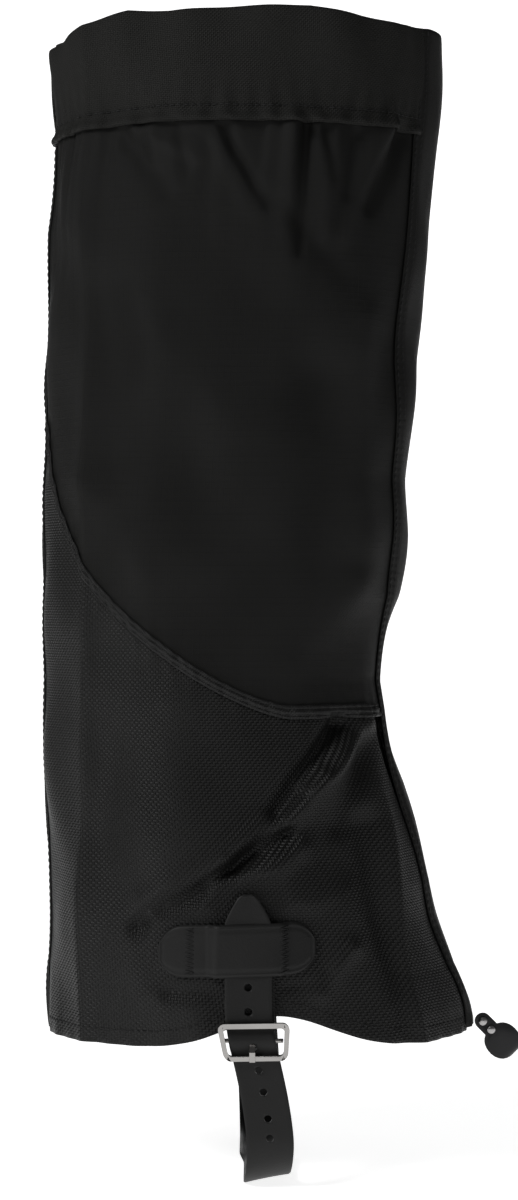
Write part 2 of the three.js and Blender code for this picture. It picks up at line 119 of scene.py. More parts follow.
def formTable(step=1.0):
    # the smooth curve through the ovals, with straight ends, read every millimetre
    heights = [row[0] for row in legForm]
    rows = []
    for height in np.arange(0, heights[-1] + step, step):
        k = max(1, min(len(heights) - 1, int(np.searchsorted(heights, height))))
        t0, t1 = heights[k - 1], heights[k]
        before = k - 2 if k > 1 else k
        after = k + 1 if k < len(heights) - 1 else k - 1
        tBefore = heights[k - 2] if k > 1 else 2 * t0 - t1
        tAfter = heights[k + 1] if k < len(heights) - 1 else 2 * t1 - t0
        half = (t1 - t0) / 2
        wBefore, wAfter = half / (t0 - tBefore), half / (tAfter - t1)
        p = min(1, (height - t0) / (t1 - t0))
        weights = (
            -wBefore * p ** 3 + 2 * wBefore * p ** 2 - wBefore * p,
            (1 + wBefore) * p ** 3 + (-1.5 - 2 * wBefore) * p ** 2 + (-0.5 + wBefore) * p + 1,
            (-1 - wAfter) * p ** 3 + (1.5 + wAfter) * p ** 2 + 0.5 * p,
            wAfter * p ** 3 - wAfter * p ** 2,
        )
        picked = [legForm[i] for i in (before, k - 1, k, after)]
        rows.append([sum(w * row[c] for w, row in zip(weights, picked)) for c in (1, 2, 3)])
    return np.arange(len(rows)) * step, np.array(rows)


formHeights, formRows = formTable()


def ovalAt(height):
    back = np.interp(height, formHeights, formRows[:, 0])
    front = np.interp(height, formHeights, formRows[:, 1])
    depth = np.interp(height, formHeights, formRows[:, 2])
    return (back + front) / 2, (front - back) / 2, depth


def smooth(value, low, high):
    t = np.clip((value - low) / (high - low), 0, 1)
    return t * t * (3 - 2 * t)


# seams and edges as heights round the leg, angles in degrees: 0 front, -90 outer side
seamLine = {"low": 138, "rise": 114, "levelUntil": 0.45, "gentle": 0.62, "steep": 0.45,
            "gentlePower": 1.45, "steepPower": 10, "tape": 6}
hemLine = {"low": 2, "arch": 14, "place": 14, "width": 30}
frontSeam = {"top": -25, "low": -9, "start": 151, "turn": 150}


def hemAt(angle):
    angle = np.asarray(angle, dtype=float)
    centre, halfWidth, _ = ovalAt(0.0)
    x = centre + halfWidth * np.cos(np.radians(angle))
    arch = hemLine["arch"] * np.exp(-(((x - hemLine["place"]) / hemLine["width"]) ** 2))
    return hemLine["low"] + arch


def frontSeamAt(height):
    height = np.asarray(height, dtype=float)
    share = smooth(height, frontSeam["start"], frontSeam["start"] + frontSeam["turn"])
    return frontSeam["low"] + (frontSeam["top"] - frontSeam["low"]) * share


def besideSeam(degrees):
    return lambda height: frontSeamAt(height) + degrees


def level(value):
    return lambda angle: value + 0 * np.asarray(angle, dtype=float)


def seamAt(angle):
    across = np.cos(np.radians(np.asarray(angle, dtype=float)))
    share = np.maximum(0, (seamLine["levelUntil"] - across) / (seamLine["levelUntil"] + 1))
    gentle = seamLine["gentle"] * share ** seamLine["gentlePower"]
    steep = seamLine["steep"] * share ** seamLine["steepPower"]
    return seamLine["low"] + seamLine["rise"] * (gentle + steep)


# folds on the outer side, in the plane of that side:
# from (x, height) to (x, height), half width, how far it stands out, tapering from the first end
outerFolds = [
    (53, 132, 17, 94, 5, 5.5), (39, 132, 13, 98, 4.2, -6.5), (51, 126, 38, 92, 6, -4.6),
    (17, 89, -44, 51, 3.4, -5), (22, 83, -34, 46, 5, 3.4), (10, 93, -40, 62, 5, 2.2),
    (31, 33, 13, 27, 2.6, -3.2), (43, 42, 31, 25, 4, 3.2), (-31, 25, -12, 26, 3, -2.2),
    (50, 90, 68, 6, 7, -4.4), (40, 64, 60, 20, 7, 2.4), (30, 112, 8, 84, 4, 3.2),
    (22, 104, -6, 74, 3.2, -3), (-8, 78, -30, 60, 3, 2),
    (-9, 376, 9, 345, 2.6, -3.4), (-15, 376, 3, 342, 4, 2.2), (25, 378, 22, 326, 2.6, -3.4),
    (19, 378, 15, 336, 4, 2.2), (31, 378, 33, 334, 3.6, 2), (33, 376, 36, 356, 2.2, -2.2),
    (46, 376, 42, 350, 2.4, -2.4), (66, 378, 52, 346, 3.6, -4), (58, 378, 42, 334, 4.4, 2.4),
    (-45, 376, -18, 364, 3.4, 2.6), (-50, 374, -32, 350, 4, -2.4), (-28, 378, -24, 358, 2.4, -2),
    (8, 377, 6, 360, 2.2, -1.8), (-4, 377, -2, 364, 2.4, 1.4), (14, 345, 40, 318, 5, -1.6),
    (-55, 312, -53, 246, 13, -3.2), (-52, 318, -6, 262, 12, 2.6), (-20, 330, 10, 300, 12, -2.2),
    (33, 272, 30, 168, 12, -3.4), (4, 250, -10, 200, 14, 2.4), (50, 300, 48, 210, 7, 2),
    (18, 322, 12, 262, 9, 1.8), (-24, 296, -20, 216, 11, -1.6), (44, 190, 20, 158, 7, 1.6),
    (-64, 232, -44, 196, 8, 1.6), (-62, 160, -58, 90, 12, -2.4), (-30, 140, -24, 90, 14, 1.6),
]
creases = {"backTop": -65, "backLow": -68, "width": 5.5, "height": 3.2, "power": 1.4}
frontCrease = {
    "heights": [0, 40, 132, 160], "places": [75, 65.5, 57, 60], "width": 4.5, "height": 2.8,
    "fadeFrom": 120, "fadeTo": 175, "power": 1.4,
}
gathers = {"reach": 20, "height": 1.0, "waves": [(13.1, 0.4), (8.3, 2.1), (21.0, 4.4)]}
puckers = {"height": 0.32, "reach": 6, "pitch": 8.5, "hemReach": 8, "hemPitch": 11, "hemPhase": 1}
cuffWaves = {"height": 1.5, "start": 6, "waves": [(27, 0.5, 0.6), (43, 2, 0.5)]}
waves = [(71, 97, 0.9, 0.6), (113, 61, 0.8, 2.7), (47, 143, 0.6, 4.1), (39, 52, 0.35, 1.3)]


def foldRelief(x, z, folds):
    total = np.zeros_like(x)
    for x0, z0, x1, z1, width, height in folds:
        along = (x1 - x0, z1 - z0)
        t = np.clip(((x - x0) * along[0] + (z - z0) * along[1]) / (along[0] ** 2 + along[1] ** 2), 0, 1)
        gap = np.hypot(x - x0 - t * along[0], z - z0 - t * along[1])
        total += height * (1 - 0.45 * t) * np.exp(-((gap / width) ** 2))
    return total


def relief(angle, height):
    # how far the cloth stands off the plain form, in millimetres
    angle = np.asarray(angle, dtype=float)
    turned = (angle + 180) % 360 - 180
    centre, halfWidth, _ = ovalAt(height)
    x = centre + halfWidth * np.cos(np.radians(turned))
    arc = np.radians(turned) * legRadius
    inner = turned > 0
    foldX = np.where(inner, x * 0.93 + 7, x)
    foldZ = np.where(inner, height * 1.03 - 9, height)
    sideways = smooth(np.abs(np.sin(np.radians(turned))), 0.25, 0.6)
    total = foldRelief(foldX, foldZ, outerFolds) * sideways * np.where(inner, 0.75, 1.0)
    share = np.clip(height / bodyTop, 0, 1)
    crease = creases["backLow"] + (creases["backTop"] - creases["backLow"]) * share
    total = total + creases["height"] * np.exp(-np.abs((x - crease) / creases["width"]) ** creases["power"])
    crease = np.interp(height, frontCrease["heights"], frontCrease["places"])
    fade = 1 - smooth(height, frontCrease["fadeFrom"], frontCrease["fadeTo"])
    ridge = np.exp(-np.abs((x - crease) / frontCrease["width"]) ** frontCrease["power"])
    total = total + frontCrease["height"] * fade * sideways * ridge
    below = np.maximum(0, cuffLow - height)
    wave = sum(np.sin(2 * math.pi * arc / pitch + phase) for pitch, phase in gathers["waves"]) / 2
    reach = gathers["reach"] * (1 + 0.5 * np.sin(arc / 17 + 1))
    flapCalm = smooth(np.abs(turned - 8), 30, 44)
    fadeUp = 1 - smooth(height, cuffLow, cuffLow + 14)
    total = total + gathers["height"] * wave * np.exp(-below / reach) * flapCalm * fadeUp
    for pitchA, pitchZ, size, phase in waves:
        around = np.sin(2 * math.pi * arc / pitchA + phase)
        total = total + size * around * np.sin(2 * math.pi * height / pitchZ + 2 * phase)
    cuffWave = sum(
        np.sin(2 * math.pi * arc / pitch + phase) * size for pitch, phase, size in cuffWaves["waves"])
    onCuff = smooth(height, cuffLow + cuffWaves["start"], bodyTop)
    total = total + cuffWaves["height"] * onCuff * cuffWave * flapCalm
    seamGap = np.abs(height - seamAt(turned))
    pucker = np.sin(2 * math.pi * arc / puckers["pitch"]) * np.exp(-seamGap / puckers["reach"])
    hemGap = np.maximum(0, height - hemAt(turned))
    hemWave = np.sin(2 * math.pi * arc / puckers["hemPitch"] + puckers["hemPhase"])
    pucker = pucker + hemWave * np.exp(-hemGap / puckers["hemReach"])
    total = total + puckers["height"] * pucker
    calm = calmAt(x, height)
    return total * calm - 0.25 * (1 - calm) + swayAt(turned, height)


# how much the worn cloth stands in or out from the plain form at the front and at the back
frontSway = {
    "heights": [0, 13, 30, 65, 107, 150, 167, 186, 212, 235, 300, 425],
    "out": [-2, -2, -3.2, -0.6, 0, -2.6, 0, 2.8, 1, -1.6, -1.4, -1],
}
backSway = {
    "heights": [0, 30, 70, 100, 190, 230, 290, 340, 365, 383, 400, 412, 425],
    "out": [-1.6, -0.4, -1.3, -0.8, -1.7, -1.2, -2, -0.4, -2.6, -3.8, -2.4, -1.3, -1],
}


# the top edge rises and falls a little
topWave = {
    "angles": [-180, -158, -140, -126, -112, -98, -84, -72, -56, -40, -24, 40, 120, 180],
    "rise": [-6, -4.5, -0.5, 3, 1.4, 2.0, 2.6, 3, 0.6, -0.8, 0.5, -1, 1.5, -6],
}


def topAt(angle):
    turned = (np.asarray(angle, dtype=float) + 180) % 360 - 180
    return bodyTop - 3 + np.interp(turned, topWave["angles"], topWave["rise"])


def swayAt(turned, height):
    along = np.cos(np.radians(turned))
    front = np.interp(height, frontSway["heights"], frontSway["out"]) * smooth(along, 0.35, 0.95)
    back = np.interp(height, backSway["heights"], backSway["out"]) * smooth(-along, 0.35, 0.95)
    return front + back


def calmAt(x, height):
    # 0 where the patches and the strap lie against the cloth, 1 away from them
    patch = np.maximum(np.abs(x + 3.4) - 33, np.abs(height - 42.5) - 11)
    strap = np.maximum(np.abs(x - 1) - 10.5, np.maximum(height - 66, 0))
    return smooth(np.minimum(patch, strap), 0, 9)


def clothPoints(angle, height, offset):
    # points in metres at angles and heights, off the outer face of the main cloth
    given = [np.asarray(v, dtype=float) for v in (angle, height, offset)]
    angle, height, offset = np.broadcast_arrays(*given)
    centre, halfWidth, halfDepth = ovalAt(height)
    across, along = np.cos(np.radians(angle)), np.sin(np.radians(angle))
    outX, outY = across / halfWidth, along / halfDepth
    length = np.hypot(outX, outY)
    stand = offset + relief(angle, height)
    x = centre + halfWidth * across + outX / length * stand
    y = halfDepth * along + outY / length * stand
    return np.stack([x, y, height], axis=-1) * mm


def angleBeside(x, height, side):
    centre, halfWidth, _ = ovalAt(height)
    return side * np.degrees(np.arccos(np.clip((x - centre) / halfWidth, -1, 1)))


# turning grids of points into closed sheets
def arcBetween(angles, height):
    centre, halfWidth, halfDepth = ovalAt(height)
    step = np.hypot(halfWidth * np.sin(np.radians(angles)), halfDepth * np.cos(np.radians(angles)))
    return np.concatenate([[0], np.cumsum((step[1:] + step[:-1]) / 2 * np.radians(np.diff(angles)))])


def meshFromGrids(name, outer, inner, uvs):
    # outer and inner are rows x columns x 3; the result is one closed skin with its UVs in metres
    rows, columns = outer.shape[:2]
    points = np.concatenate([outer.reshape(-1, 3), inner.reshape(-1, 3)])
    index = np.arange(rows * columns).reshape(rows, columns)
    back = index + rows * columns
    faces = []
    for grid, turn in ((index, False), (back, True)):
        quads = np.stack([grid[:-1, :-1], grid[:-1, 1:], grid[1:, 1:], grid[1:, :-1]], axis=-1)
        quads = quads.reshape(-1, 4)
        faces.extend((quads[:, ::-1] if turn else quads).tolist())
    border = [index[0, :], index[:, -1], index[-1, ::-1], index[::-1, 0]]
    for line in border:
        for a, b in zip(line[:-1], line[1:]):
            faces.append([int(b), int(a), int(a) + rows * columns, int(b) + rows * columns])
    obj = addMesh(name, points.tolist(), faces)
    mesh = obj.data
    layer = mesh.uv_layers.new(name="cloth")
    flat = np.concatenate([uvs.reshape(-1, 2)] * 2)
    corners = np.empty(len(mesh.loops), dtype=np.int64)
    mesh.loops.foreach_get("vertex_index", corners)
    layer.data.foreach_set("uv", flat[corners].ravel())
    return obj


def sheetOf(name, spec):
    # a layer of cloth: its ends are angles at a height, its edges heights at an angle
    start = spec["from"] if callable(spec["from"]) else level(spec["from"])
    stop = spec["to"] if callable(spec["to"]) else level(spec["to"])
    ends = float(start(200)), float(stop(200))
    columns = spec.get("columns") or int(abs(ends[1] - ends[0]) / 1.1) + 2
    probe = np.array([ends[0], sum(ends) / 2, ends[1]])
    lowest, highest = float(spec["low"](probe).min()), float(spec["high"](probe).max())
    rows = spec.get("rows") or int((highest - lowest) / 2.4) + 2
    across, up = np.linspace(0, 1, columns)[None, :], np.linspace(0, 1, rows)[:, None]
    levels = lowest + (highest - lowest) * up
    angles = start(levels) * (1 - across) + stop(levels) * across
    heights = spec["low"](angles) * (1 - up) + spec["high"](angles) * up
    # the edges are thinned, so that every layer ends in a rounded edge
    rim = np.minimum(smooth(np.minimum(across, 1 - across) * columns, -1.2, 1.2), 1)
    rim = rim * np.minimum(smooth(np.minimum(up, 1 - up) * rows, -1.2, 1.2), 1)
    middle = spec["inside"] + spec["thick"] / 2
    stand = spec["stand"](angles, heights) if "stand" in spec else 0
    if "lift" in spec:
        middle = middle + spec["lift"](angles, heights)
    outer = clothPoints(angles, heights, middle + spec["thick"] / 2 * rim + stand)
    inner = clothPoints(angles, heights, middle - spec["thick"] / 2 * rim)
    ruler = np.linspace(angles.min(), angles.max(), 200)
    arc = arcBetween(ruler, (lowest + highest) / 2)
    around = np.interp(angles, ruler, arc)
    obj = meshFromGrids(name, outer, inner, np.stack([around, heights], axis=-1) * mm)
    width, length = float(np.ptp(around)) * mm, float((heights[-1] - heights[0]).max()) * mm
    area = float(np.trapz(heights[-1] - heights[0], around[rows // 2])) * mm * mm
    return obj, (round(width, 4), round(length, 4)), round(area, 6)


def finish(obj, body, material, slot, *nodes):
    obj.data.materials.clear()
    obj.data.materials.append(material)
    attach(obj, body)
    if nodes:
        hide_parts(*nodes)
    return obj


# shared effects
def newGroup(name, inputs, outputs):
    group = bpy.data.node_groups.new(name, "ShaderNodeTree")
    for label, kind, value in inputs:
        socket = group.interface.new_socket(name=label, in_out="INPUT", socket_type=kind)
        if value is not None:
            socket.default_value = value
    for label, kind in outputs:
        group.interface.new_socket(name=label, in_out="OUTPUT", socket_type=kind)
    start = group.nodes.new("NodeGroupInput")
    end = group.nodes.new("NodeGroupOutput")
    return group, start, end


def mathNode(tree, operation, a, b=None, c=None):
    node = tree.nodes.new("ShaderNodeMath")
    node.operation = operation
    for i, value in enumerate((a, b, c)):
        if value is None:
            continue
        if isinstance(value, (int, float)):
            node.inputs[i].default_value = value
        else:
            tree.links.new(value, node.inputs[i])
    return node.outputs[0]


def makePlainWeave():
    # yarns going over and under each other, pitch in metres
    group, start, end = newGroup(
        "plainWeave",
        [("Vector", "NodeSocketVector", None), ("Pitch", "NodeSocketFloat", 0.001)],
        [("Height", "NodeSocketFloat"), ("Over", "NodeSocketFloat")],
    )
    split = group.nodes.new("ShaderNodeSeparateXYZ")
    group.links.new(start.outputs["Vector"], split.inputs[0])
    turn = mathNode(group, "DIVIDE", math.pi, start.outputs["Pitch"])
    warp = mathNode(group, "SINE", mathNode(group, "MULTIPLY", split.outputs[0], turn))
    weft = mathNode(group, "SINE", mathNode(group, "MULTIPLY", split.outputs[1], turn))
    over = mathNode(group, "GREATER_THAN", mathNode(group, "MULTIPLY", warp, weft), 0.0)
    warpUp = mathNode(group, "ABSOLUTE", warp)
    weftUp = mathNode(group, "ABSOLUTE", weft)
    under = mathNode(group, "SUBTRACT", 1.0, over)
    warpPart = mathNode(group, "MULTIPLY", warpUp, over)
    height = mathNode(group, "ADD", warpPart, mathNode(group, "MULTIPLY", weftUp, under))
    group.links.new(height, end.inputs["Height"])
    group.links.new(over, end.inputs["Over"])
    return group


def makeThreadGrid():
    # the heavier threads of ripstop, as a square grid of lines
    group, start, end = newGroup(
        "threadGrid",
        [
            ("Vector", "NodeSocketVector", None),
            ("Pitch", "NodeSocketFloat", 0.0026),
            ("Share", "NodeSocketFloat", 0.16),
        ],
        [("Line", "NodeSocketFloat")],
    )
    split = group.nodes.new("ShaderNodeSeparateXYZ")
    group.links.new(start.outputs["Vector"], split.inputs[0])
    lines = []
    for axis in (0, 1):
        turns = mathNode(group, "DIVIDE", split.outputs[axis], start.outputs["Pitch"])
        cell = mathNode(group, "FRACT", turns)
        lines.append(mathNode(group, "LESS_THAN", cell, start.outputs["Share"]))
    group.links.new(mathNode(group, "MAXIMUM", *lines), end.inputs["Line"])
    return group


def makeDusting():
    # slow cloudy change over a surface, from 0 to 1
    group, start, end = newGroup(
        "dusting",
        [("Vector", "NodeSocketVector", None), ("Scale", "NodeSocketFloat", 30.0)],
        [("Cloud", "NodeSocketFloat"), ("Fine", "NodeSocketFloat")],
    )
    for label, times, detail in (("Cloud", 1.0, 4.0), ("Fine", 22.0, 2.0)):
        noise = group.nodes.new("ShaderNodeTexNoise")
        noise.inputs["Detail"].default_value = detail
        group.links.new(start.outputs["Vector"], noise.inputs["Vector"])
        group.links.new(mathNode(group, "MULTIPLY", start.outputs["Scale"], times), noise.inputs["Scale"])
        group.links.new(noise.outputs["Fac"], end.inputs[label])
    return group


plainWeave = makePlainWeave()
threadGrid = makeThreadGrid()
dusting = makeDusting()


def newMaterial(name, color, roughness, metallic=0.0, specular=0.5):
    material = bpy.data.materials.new(name)
    material.use_nodes = True
    material.diffuse_color = (*color, 1)
    shader = material.node_tree.nodes["Principled BSDF"]
    shader.inputs["Base Color"].default_value = (*color, 1)
    shader.inputs["Roughness"].default_value = roughness
    shader.inputs["Metallic"].default_value = metallic
    shader.inputs["Specular IOR Level"].default_value = specular
    return material, material.node_tree, shader


def useGroup(tree, group, vector, **values):
    node = tree.nodes.new("ShaderNodeGroup")
    node.node_tree = group
    tree.links.new(vector, node.inputs["Vector"])
    for label, value in values.items():
        node.inputs[label].default_value = value
    return node


def dustOver(tree, scale):
    place = tree.nodes.new("ShaderNodeTexCoord")
    return useGroup(tree, dusting, place.outputs["Object"], Scale=scale)


def varyRoughness(tree, shader, cloud, spread, lowest):
    rough = mathNode(tree, "MULTIPLY_ADD", cloud.outputs["Cloud"], spread, lowest)
    tree.links.new(rough, shader.inputs["Roughness"])


def varyColor(tree, shader, factor, dark, light):
    tree.links.new(mixColor(tree, factor, dark, light), shader.inputs["Base Color"])


def addBump(tree, shader, height, distance, strength=1.0):
    bump = tree.nodes.new("ShaderNodeBump")
    bump.inputs["Strength"].default_value = strength
    bump.inputs["Distance"].default_value = distance
    tree.links.new(height, bump.inputs["Height"])
    tree.links.new(bump.outputs["Normal"], shader.inputs["Normal"])


def mixColor(tree, factor, a, b):
    node = tree.nodes.new("ShaderNodeMix")
    node.data_type = "RGBA"
    node.inputs["A"].default_value = (*a, 1)
    node.inputs["B"].default_value = (*b, 1)
    tree.links.new(factor, node.inputs["Factor"])
    return node.outputs["Result"]


def makeCloth(name, spec):
    # woven cloth: weave relief, heavier grid threads where it has them, cloudy wear in the roughness, and a
    # painted highlight on the yarn crests whose strength varies with the cloud
    material, tree, shader = newMaterial(name, spec["color"], spec["roughness"], specular=spec["specular"])
    shader.inputs["Sheen Weight"].default_value = spec["sheen"]
    shader.inputs["Sheen Roughness"].default_value = 0.5
    uv = tree.nodes.new("ShaderNodeUVMap")
    uv.uv_map = "cloth"
    weave = useGroup(tree, plainWeave, uv.outputs[0], Pitch=spec["pitch"])
    cloud = dustOver(tree, spec["cloud"])
    height = weave.outputs["Height"]
    if "grid" in spec:
        grid = useGroup(tree, threadGrid, uv.outputs[0], Pitch=spec["grid"])
        height = mathNode(tree, "ADD", height, mathNode(tree, "MULTIPLY", grid.outputs["Line"], 1.1))
    height = mathNode(tree, "ADD", height, mathNode(tree, "MULTIPLY", cloud.outputs["Fine"], 0.5))
    addBump(tree, shader, height, spec["bump"])
    # painted highlight: the colour runs from dark times the base in the hollows between yarns to light times
    # the base on the yarn crests, scaled by the dusting cloud
    dark = tuple(v * spec["dark"] for v in spec["color"])
    light = tuple(v * spec["light"] for v in spec["color"])
    shade = mathNode(tree, "MULTIPLY", weave.outputs["Height"], cloud.outputs["Cloud"])
    shade = mathNode(tree, "MULTIPLY", shade, 1.6)
    varyColor(tree, shader, shade, dark, light)
    varyRoughness(tree, shader, cloud, spec["roughSpread"], spec["roughness"] - spec["roughSpread"] / 2)
    return material


# in each cloth, dark and light scale the colour from the hollows between yarns up to the painted highlight on
# the yarn crests
ripstop = makeCloth("ripstop", {
    "color": (0.0062, 0.0062, 0.0058), "roughness": 0.5, "specular": 0.13, "sheen": 0.0, "pitch": 0.00045,
    "grid": 0.0026, "bump": 0.00011, "dark": 0.75, "light": 1.5, "cloud": 14, "roughSpread": 0.16,
})
oxford = makeCloth("oxford", {
    "color": (0.0062, 0.0062, 0.0060), "roughness": 0.46, "specular": 0.17, "sheen": 0.0, "pitch": 0.0011,
    "bump": 0.00022, "dark": 0.45, "light": 1.9, "cloud": 11, "roughSpread": 0.18,
})
cuffCloth = makeCloth("cuffCloth", {
    "color": (0.0085, 0.0085, 0.0078), "roughness": 0.66, "specular": 0.14, "sheen": 0.0, "pitch": 0.0008,
    "bump": 0.0002, "dark": 0.6, "light": 1.7, "cloud": 12, "roughSpread": 0.1,
})
tapeCloth = makeCloth("tapeCloth", {
    "color": (0.006, 0.006, 0.0058), "roughness": 0.5, "specular": 0.26, "sheen": 0.0, "pitch": 0.0007,
    "bump": 0.00012, "dark": 0.7, "light": 1.4, "cloud": 20, "roughSpread": 0.1,
})
elasticCloth = makeCloth("elasticCloth", {
    "color": (0.02, 0.02, 0.02), "roughness": 0.85, "specular": 0.2, "sheen": 0.05, "pitch": 0.0014,
    "bump": 0.0003, "dark": 0.7, "light": 1.4, "cloud": 20, "roughSpread": 0.1,
})
pileCloth = makeCloth("pileCloth", {
    "color": (0.007, 0.007, 0.007), "roughness": 0.95, "specular": 0.1, "sheen": 0.15, "pitch": 0.0016,
    "bump": 0.0006, "dark": 0.6, "light": 1.6, "cloud": 60, "roughSpread": 0.05,
})


def makeSurface(name, spec):
    # a plain surface with a fine grain and a cloudy tone
    material, tree, shader = newMaterial(name, spec["color"], spec["roughness"], specular=spec["specular"])
    cloud = dustOver(tree, spec["scale"])
    addBump(tree, shader, cloud.outputs["Fine"], spec["bump"])
    varyColor(tree, shader, cloud.outputs["Cloud"], spec["dark"], spec["light"])
    if "lowest" in spec:
        varyRoughness(tree, shader, cloud, spec["spread"], spec["lowest"])
    if "coat" in spec:
        shader.inputs["Coat Weight"].default_value = spec["coat"]
        shader.inputs["Coat Roughness"].default_value = spec["coatRoughness"]
    return material


def makeMetal(name, color, roughness, spread, scale):
    material, tree, shader = newMaterial(name, color, roughness, metallic=1.0)
    cloud = dustOver(tree, scale)
    addBump(tree, shader, cloud.outputs["Fine"], 0.00002)
    varyRoughness(tree, shader, cloud, spread, roughness - spread / 2)
    varyColor(tree, shader, cloud.outputs["Cloud"], tuple(v * 0.8 for v in color), color)
    return material


coated = makeSurface("coated", {
    "color": (0.009, 0.009, 0.009), "dark": (0.007, 0.007, 0.007), "light": (0.0115, 0.0115, 0.0112),
    "roughness": 0.5, "specular": 0.22, "scale": 60.0, "bump": 0.00008, "spread": 0.25, "lowest": 0.38,
})
thread = makeSurface("thread", {
    "color": (0.007, 0.007, 0.007), "dark": (0.004, 0.004, 0.004), "light": (0.01, 0.01, 0.01),
    "roughness": 0.6, "specular": 0.25, "scale": 400.0, "bump": 0.00008,
})
enamel = makeSurface("enamel", {
    "color": (0.008, 0.008, 0.009), "dark": (0.008, 0.008, 0.009), "light": (0.02, 0.02, 0.021),
    "roughness": 0.3, "specular": 0.18, "scale": 150.0, "bump": 0.00003, "spread": 0.3, "lowest": 0.2,
    "coat": 0.06, "coatRoughness": 0.15,
})
gunmetal = makeMetal("gunmetal", (0.36, 0.35, 0.34), 0.13, 0.08, 90.0)
steel = makeMetal("steel", (0.4, 0.39, 0.39), 0.26, 0.1, 120.0)
print("materials made")

# stitches: one short rounded thread, repeated along a line lying on the cloth
stitchShape = {"length": 2.1, "pitch": 2.9, "radius": 0.3, "sides": 6}


def threadsBetween(name, starts, ends, normals, body):
    # one thread from each start to its end, in millimetres, half sunk into what it is sewn to
    radius, sides = stitchShape["radius"], stitchShape["sides"]
    rings = [(-1, 0.35), (-0.8, 0.85), (0, 1), (0.8, 0.85), (1, 0.35)]
    turns = np.arange(sides) * 2 * math.pi / sides
    verts, faces = [], []
    for start, end, out in zip(starts, ends, normals):
        base = len(verts)
        middle, half = (start + end) / 2, (end - start) / 2
        out = out / np.linalg.norm(out)
        aside = np.cross(out, half / np.linalg.norm(half))
        for t, size in rings:
            for turn in turns:
                lift = radius * (size * math.sin(turn) - 0.45 * t * t)
                verts.append((middle + half * t + aside * (radius * size * math.cos(turn)) + out * lift) * mm)
        for r in range(len(rings) - 1):
            low, high = base + r * sides, base + (r + 1) * sides
            for k in range(sides):
                k2 = (k + 1) % sides
                faces.append((low + k, high + k, high + k2, low + k2))
        last = base + (len(rings) - 1) * sides
        faces.append(tuple(base + k for k in range(sides)))
        faces.append(tuple(last + k for k in reversed(range(sides))))
    obj = addMesh(name, [tuple(v) for v in verts], faces)
    obj.data.materials.append(thread)
    if body:
        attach(obj, body)
    return obj


def placeStitches(name, points, normals, body, pitch=None, length=None):
    # a row of threads along a line
    pitch = pitch or stitchShape["pitch"]
    half = (length or stitchShape["length"]) / 2
    steps = np.linalg.norm(np.diff(points, axis=0), axis=1)
    along = np.concatenate([[0], np.cumsum(steps)])
    count = max(1, int(along[-1] / pitch))
    at = (np.arange(count) + 0.5) * along[-1] / count
    starts, ends, out = (
        np.stack([np.interp(where, along, source[:, c]) for c in range(3)], axis=-1)
        for where, source in ((at - half, points), (at + half, points), (at, normals))
    )
    return threadsBetween(name, starts, ends, out, body)


def stitchRound(name, angles, heights, offset, body, **given):
    # a row of stitches over angles and heights on the leg form
    spots = clothPoints(angles, heights, offset) / mm
    lifted = clothPoints(angles, heights, np.asarray(offset) + 1.0) / mm
    return placeStitches(name, spots, lifted - spots, body, **given)


# panels, cuff and facings
clothThick = 0.8
half = {
    "outer": {"from": -backEdge, "to": frontSeamAt, "lineTo": besideSeam(-2), "lineFrom": -backEdge},
    "inner": {"from": innerFront, "to": backEdge, "lineFrom": innerFront + 10, "lineTo": backEdge},
}
cuffShape = {"roll": 1.5, "rollReach": 3.4, "slack": 0.5, "thick": 1.0, "rows": [2.6, 5.4]}
blended = []


def cuffStand(angles, heights):
    # the lower edge is rolled, and the tunnel swells a little between its two stitch rows
    above = heights - cuffLow
    roll = cuffShape["roll"] * np.exp(-((above / cuffShape["rollReach"]) ** 2))
    groove = sum(np.exp(-(((above - row) / 0.9) ** 2)) for row in cuffShape["rows"])
    ripple = np.sin(np.radians(angles) * legRadius * 2 * math.pi / 7.4) * np.exp(-((above - 8) / 9) ** 2)
    slack = cuffShape["slack"] * smooth(above, 6, 22) * (1 - smooth(above, 34, 46))
    return roll + 0.25 * ripple - 0.35 * groove + slack


def cover(obj, side, material, node):
    # gives the piece its material and hides the frame's part; pieces of the outer half go in a list whose
    # transforms are baked later, those of the inner half are attached to the outer shell
    obj.data.materials.clear()
    obj.data.materials.append(material)
    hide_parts(node)
    if side == "outer":
        blended.append(obj)
    else:
        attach(obj, "outer_shell")


def holdStitches(row, side):
    if side == "outer":
        blended.append(row)
    else:
        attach(row, "outer_shell")


